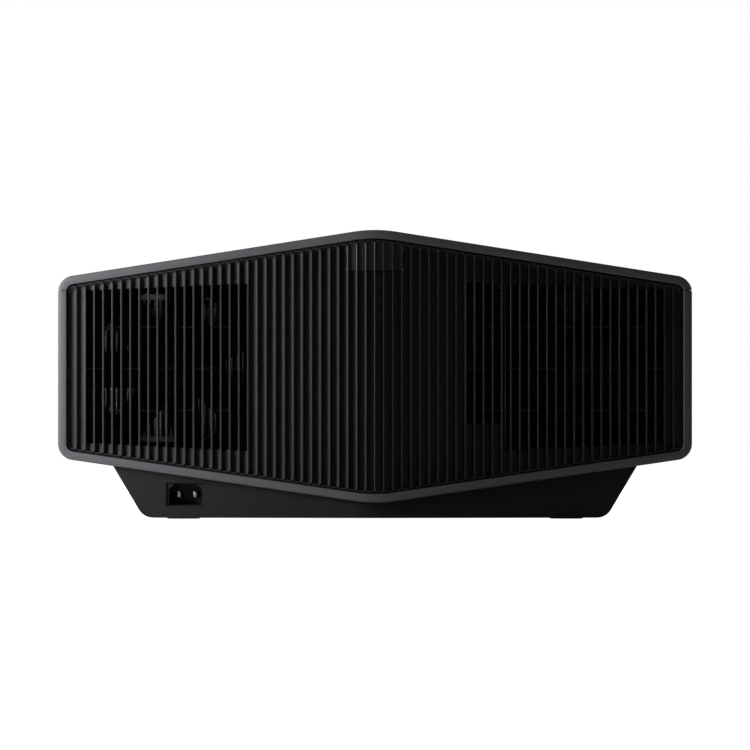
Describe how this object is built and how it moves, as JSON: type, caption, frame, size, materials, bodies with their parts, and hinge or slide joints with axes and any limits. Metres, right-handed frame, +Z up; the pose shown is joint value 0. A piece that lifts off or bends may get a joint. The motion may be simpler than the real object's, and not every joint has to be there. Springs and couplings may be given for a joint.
{
  "type": "home cinema projector",
  "caption": "Home cinema projector: a six-sided sleeve with ribbed end panels on a tapered plinth, exhaust fans, and a lens on a motor-driven shift stage.",
  "frame": {"origin": "centre of the body's footprint, on the surface that the feet stand on", "axes": "+Z up; the lens looks along -Y; +Y points out of the rear panel; +X is the side with the sockets and keys"},
  "size_m": [0.46, 0.517, 0.2099],
  "materials": {
    "case_black": "fine satin texture",
    "grille_black": "satin",
    "plinth_black": "fine matt texture",
    "ir_black": "glossy, dark infra-red window",
    "bezel_black": "satin",
    "sheet_steel": "plated",
    "screw_steel": "plain",
    "foot_rubber": "matt",
    "dial_plastic": "satin",
    "inlet_black": "moulded",
    "pin_nickel": "bright nickel",
    "panel_black": "matt",
    "socket_steel": "stamped",
    "jack_black": "moulded",
    "key_black": "satin",
    "led_clear": "clear",
    "filter_grey": "pleated medium in a moulded frame",
    "fan_black": "moulded",
    "board_green": "solder mask",
    "board_brown": "solder mask",
    "copper": "drawn copper",
    "fin_aluminium": "plain",
    "engine_grey": "glass-filled moulding, dark",
    "imager_glass": "optical",
    "cast_grey": "machined",
    "rod_steel": "ground",
    "screw_brass": "rolled thread",
    "lens_black": "black anodised",
    "shroud_black": "matt",
    "gear_nylon": "moulded",
    "lens_glass": "coated optical glass"
  },
  "bodies": {
    "root": {"top_cover": "case_black", "lower_case": "case_black", "base_cover": "plinth_black", "rear_grille": "grille_black", "front_grille_left": "grille_black", "front_grille_right": "grille_black", "ir_windows": "ir_black", "lens_bezel": "bezel_black", "chassis_plate": "sheet_steel", "screws": "screw_steel", "rear_feet": "foot_rubber", "mains_inlet": "inlet_black", "inlet_pins": "pin_nickel", "io_panel": "panel_black", "metal_sockets": "socket_steel", "trigger_jacks": "jack_black", "keypad_panel": "panel_black", "status_lens": "led_clear", "fan_brackets": "sheet_steel", "fan_frames": "fan_black", "main_board": "board_green", "power_supply": "board_brown", "laser_module": "cast_grey", "heat_pipes": "copper", "heat_sink": "fin_aluminium", "optical_housing": "engine_grey", "imager_block": "imager_glass", "shift_base": "cast_grey", "v_drive": "rod_steel"},
    "v_stage": {"v_carriage": "cast_grey", "h_drive": "rod_steel"},
    "v_lead": {"v_screw": "screw_brass"},
    "lens": {"h_carriage": "cast_grey", "lens_barrel": "lens_black", "lens_shroud": "shroud_black", "lens_motors": "rod_steel"},
    "h_lead": {"h_screw": "screw_brass"},
    "zoom": {"zoom_ring": "lens_black"},
    "zoom_gear": {"zoom_pinion": "gear_nylon"},
    "zoom_group": {"zoom_cell": "lens_black"},
    "focus": {"focus_ring": "lens_black"},
    "focus_gear": {"focus_pinion": "gear_nylon"},
    "focus_group": {"front_cell": "lens_black", "front_lens": "lens_glass"},
    "fan_left": {"fan_rotor_left": "fan_black"},
    "fan_right": {"fan_rotor_right": "fan_black"},
    "filter": {"filter_cover": "case_black", "air_filter": "filter_grey"},
    "foot_left": {"foot_pad_left": "foot_rubber"},
    "dial_left": {"foot_dial_left": "dial_plastic"},
    "foot_right": {"foot_pad_right": "foot_rubber"},
    "dial_right": {"foot_dial_right": "dial_plastic"},
    "power_key": {"power_button": "key_black"},
    "input_key": {"input_button": "key_black"},
    "menu_key": {"menu_button": "key_black"},
    "enter_key": {"enter_button": "key_black"},
    "up_key": {"up_button": "key_black"},
    "down_key": {"down_button": "key_black"},
    "left_key": {"left_button": "key_black"},
    "right_key": {"right_button": "key_black"}
  },
  "joints": [
    {"name": "power_press", "type": "slide", "parent": "root", "child": "power_key", "axis": [-1, 0, 0], "range_m": [0, 0.0008], "stiffness_N_per_m": 900, "springref_m": -0.0006},
    {"name": "input_press", "type": "slide", "parent": "root", "child": "input_key", "axis": [-1, 0, 0], "range_m": [0, 0.0008], "stiffness_N_per_m": 900, "springref_m": -0.0006},
    {"name": "menu_press", "type": "slide", "parent": "root", "child": "menu_key", "axis": [-1, 0, 0], "range_m": [0, 0.0008], "stiffness_N_per_m": 900, "springref_m": -0.0006},
    {"name": "enter_press", "type": "slide", "parent": "root", "child": "enter_key", "axis": [-1, 0, 0], "range_m": [0, 0.0008], "stiffness_N_per_m": 900, "springref_m": -0.0006},
    {"name": "up_press", "type": "slide", "parent": "root", "child": "up_key", "axis": [-1, 0, 0], "range_m": [0, 0.0008], "stiffness_N_per_m": 900, "springref_m": -0.0006},
    {"name": "down_press", "type": "slide", "parent": "root", "child": "down_key", "axis": [-1, 0, 0], "range_m": [0, 0.0008], "stiffness_N_per_m": 900, "springref_m": -0.0006},
    {"name": "left_press", "type": "slide", "parent": "root", "child": "left_key", "axis": [-1, 0, 0], "range_m": [0, 0.0008], "stiffness_N_per_m": 900, "springref_m": -0.0006},
    {"name": "right_press", "type": "slide", "parent": "root", "child": "right_key", "axis": [-1, 0, 0], "range_m": [0, 0.0008], "stiffness_N_per_m": 900, "springref_m": -0.0006},
    {"name": "fan_left_spin", "type": "hinge", "parent": "root", "child": "fan_left", "pos_m": [-0.1565, 0.20457, 0.11], "axis": [-0.1532, 0.9882, 0], "continuous": true},
    {"name": "fan_right_spin", "type": "hinge", "parent": "root", "child": "fan_right", "pos_m": [0.1475, 0.20597, 0.11], "axis": [0.1532, 0.9882, 0], "continuous": true},
    {"name": "filter_pull", "type": "slide", "parent": "root", "child": "filter", "axis": [-1, 0, 0], "range_m": [0, 0.14]},
    {"name": "lens_shift_v", "type": "slide", "parent": "root", "child": "v_stage", "axis": [0, 0, 1], "range_m": [-0.01, 0.01]},
    {"name": "v_screw_turn", "type": "hinge", "parent": "root", "child": "v_lead", "pos_m": [0.056, -0.134, 0.1105], "axis": [0, 0, 1], "range_deg": [-905, 905]},
    {"name": "lens_shift_h", "type": "slide", "parent": "v_stage", "child": "lens", "axis": [1, 0, 0], "range_m": [-0.008, 0.008]},
    {"name": "h_screw_turn", "type": "hinge", "parent": "v_stage", "child": "h_lead", "pos_m": [0, -0.104, 0.16], "axis": [1, 0, 0], "range_deg": [-725, 725]},
    {"name": "zoom_turn", "type": "hinge", "parent": "lens", "child": "zoom", "pos_m": [0, -0.19, 0.1105], "axis": [0, 1, 0], "range_deg": [-50, 50]},
    {"name": "zoom_gear_turn", "type": "hinge", "parent": "lens", "child": "zoom_gear", "pos_m": [0.03394, -0.184, 0.14444], "axis": [0, 1, 0], "range_deg": [-352, 352]},
    {"name": "zoom_travel", "type": "slide", "parent": "lens", "child": "zoom_group", "axis": [0, 1, 0], "range_m": [-0.0151, 0.0151]},
    {"name": "focus_turn", "type": "hinge", "parent": "lens", "child": "focus", "pos_m": [0, -0.21, 0.1105], "axis": [0, 1, 0], "range_deg": [-60, 60]},
    {"name": "focus_gear_turn", "type": "hinge", "parent": "lens", "child": "focus_gear", "pos_m": [-0.0396, -0.208, 0.1501], "axis": [0, 1, 0], "range_deg": [-502, 502]},
    {"name": "focus_travel", "type": "slide", "parent": "lens", "child": "focus_group", "axis": [0, 1, 0], "range_m": [-0.0031, 0.0031]},
    {"name": "foot_left_extend", "type": "slide", "parent": "root", "child": "foot_left", "axis": [0, 0, -1], "range_m": [0, 0.01]},
    {"name": "foot_left_turn", "type": "hinge", "parent": "foot_left", "child": "dial_left", "pos_m": [-0.14, -0.185, 0.006], "axis": [0, 0, -1], "range_deg": [0, 2870]},
    {"name": "foot_right_extend", "type": "slide", "parent": "root", "child": "foot_right", "axis": [0, 0, -1], "range_m": [0, 0.01]},
    {"name": "foot_right_turn", "type": "hinge", "parent": "foot_right", "child": "dial_right", "pos_m": [0.14, -0.185, 0.006], "axis": [0, 0, -1], "range_deg": [0, 2870]}
  ],
  "couplings": [
    {"joint": "v_screw_turn", "follows": "lens_shift_v", "rad_per_m": 1570.8},
    {"joint": "h_screw_turn", "follows": "lens_shift_h", "rad_per_m": 1570.8},
    {"joint": "zoom_gear_turn", "follows": "zoom_turn", "ratio": -7},
    {"joint": "zoom_travel", "follows": "zoom_turn", "m_per_rad": 0.017189},
    {"joint": "focus_gear_turn", "follows": "focus_turn", "ratio": -8.3333},
    {"joint": "focus_travel", "follows": "focus_turn", "m_per_rad": 0.002865},
    {"joint": "foot_left_extend", "follows": "foot_left_turn", "m_per_rad": 0.00019894},
    {"joint": "foot_right_extend", "follows": "foot_right_turn", "m_per_rad": 0.00019894}
  ]
}
